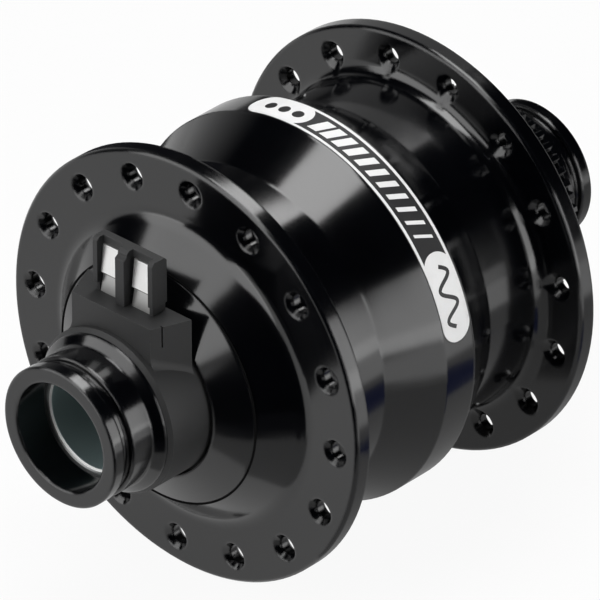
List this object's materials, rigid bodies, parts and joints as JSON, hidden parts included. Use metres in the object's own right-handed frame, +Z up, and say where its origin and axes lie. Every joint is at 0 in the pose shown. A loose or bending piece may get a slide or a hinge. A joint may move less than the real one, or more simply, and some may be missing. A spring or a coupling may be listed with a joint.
{
  "type": "hub dynamo",
  "caption": "Bicycle front hub with a built-in dynamo: waisted drum between drilled spoke flanges, hollow through-axle, splined brake-rotor seat and an upright connector.",
  "frame": {"origin": "on the axle's centre line, half way between the two end faces that the fork clamps", "axes": "+Y along the axle towards the brake side, so the connector is at the -Y end; +Z up, the way the terminals point; +X square to both"},
  "size_m": [0.0662, 0.1, 0.0662],
  "materials": {
    "black_anodised": "glossy black anodised",
    "bare_aluminium": "fine turned",
    "grey_plastic": "moulded, matte",
    "contact_metal": "tin plated",
    "red_insulation": "smooth",
    "black_insulation": "smooth",
    "steel": "stamped and zinc plated",
    "bobbin_plastic": "moulded",
    "copper_wire": "enamelled",
    "bearing_steel": "ground and polished",
    "rubber": "moulded",
    "magnet": "nickel plated",
    "cage_brass": "pressed"
  },
  "bodies": {
    "axle_assembly": {"axle_tube": "bare_aluminium", "dynamo_end_cap": "black_anodised", "disc_end_cap": "black_anodised", "dynamo_cap_o_ring": "rubber", "disc_cap_o_ring": "rubber", "connector_body": "grey_plastic", "terminal_tower": "grey_plastic", "live_contact": "contact_metal", "ground_contact": "contact_metal", "live_lead": "red_insulation", "ground_lead": "black_insulation", "connector_spacer": "bare_aluminium", "stator_spacer": "bare_aluminium", "stator_core": "steel", "left_claw_plate": "steel", "right_claw_plate": "steel", "coil_bobbin": "bobbin_plastic", "coil_winding": "copper_wire", "near_inner_race": "bearing_steel", "far_inner_race": "bearing_steel"},
    "hub_shell": {"main_shell": "black_anodised", "disc_side_shell": "black_anodised", "side_cover": "black_anodised", "cover_dust_seal": "rubber", "flux_ring": "steel", "magnets": "magnet", "near_outer_race": "bearing_steel", "near_outer_seal": "rubber", "near_inner_seal": "rubber", "far_outer_race": "bearing_steel", "far_outer_seal": "rubber", "far_inner_seal": "rubber"},
    "near_ball_set": {"near_balls": "bearing_steel", "near_cage": "cage_brass"},
    "far_ball_set": {"far_balls": "bearing_steel", "far_cage": "cage_brass"}
  },
  "joints": [
    {"name": "shell_spin", "type": "hinge", "parent": "axle_assembly", "child": "hub_shell", "pos_m": [0, 0, 0], "axis": [0, 1, 0], "continuous": true},
    {"name": "near_ball_orbit", "type": "hinge", "parent": "axle_assembly", "child": "near_ball_set", "pos_m": [0, 0, 0], "axis": [0, 1, 0], "continuous": true},
    {"name": "far_ball_orbit", "type": "hinge", "parent": "axle_assembly", "child": "far_ball_set", "pos_m": [0, 0, 0], "axis": [0, 1, 0], "continuous": true}
  ],
  "couplings": [
    {"joint": "near_ball_orbit", "follows": "shell_spin", "ratio": 0.5675},
    {"joint": "far_ball_orbit", "follows": "shell_spin", "ratio": 0.57755}
  ]
}
